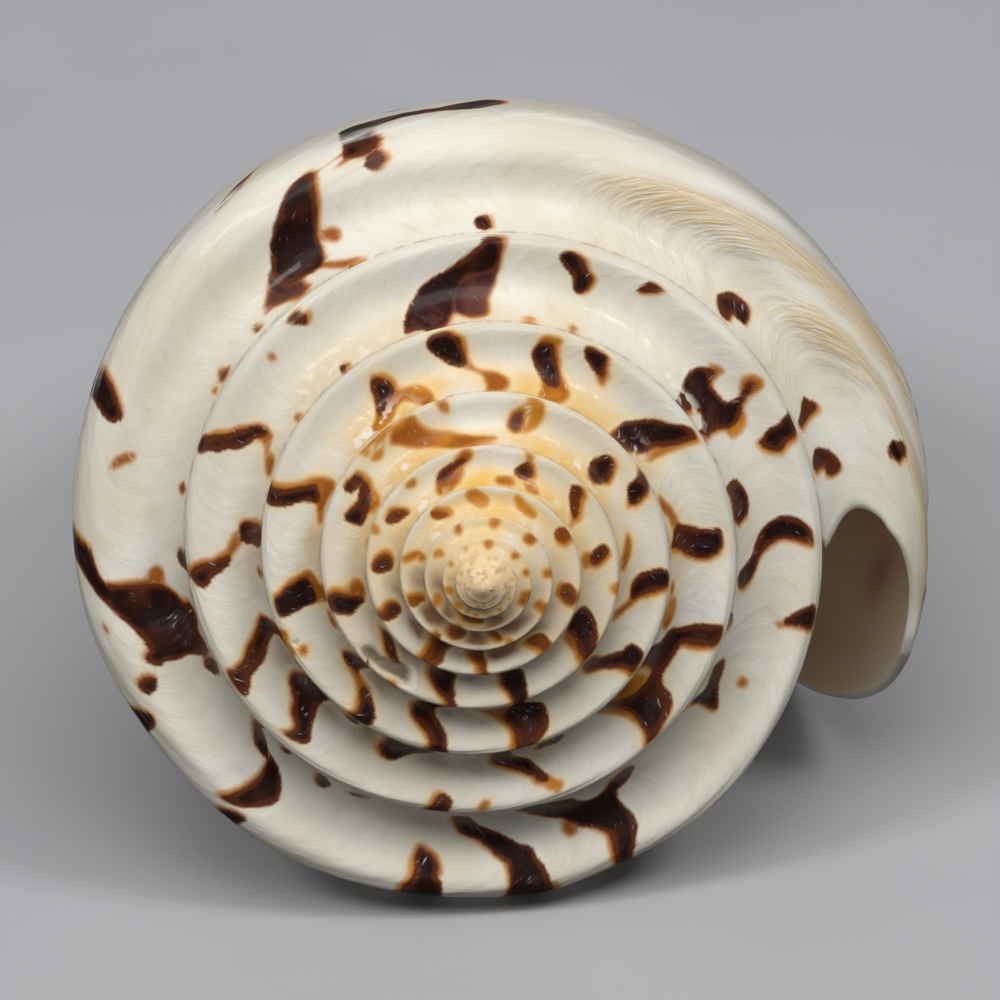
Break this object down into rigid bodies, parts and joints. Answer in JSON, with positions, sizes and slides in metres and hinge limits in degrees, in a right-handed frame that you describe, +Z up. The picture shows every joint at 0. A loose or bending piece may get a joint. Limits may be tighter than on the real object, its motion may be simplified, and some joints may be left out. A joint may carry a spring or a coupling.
{
  "type": "cone shell",
  "caption": "Cone-shaped sea shell with a low stepped spire, a rounded shoulder, a tapering body and a long narrow mouth, lying mouth down.",
  "frame": {"origin": "middle of the box on the surface that the shell lies on", "axes": "+Z up; +Y along the shell from the spire, which is at the front, to the narrow front end; seen from the spire, +X is to the right and the outer lip is on that side"},
  "size_m": [0.0428, 0.0608, 0.0386],
  "materials": {
    "porcelain": "glossy ivory shell with dark brown and amber blotches"
  },
  "bodies": {
    "root": {"shell": "porcelain"}
  },
  "joints": []
}
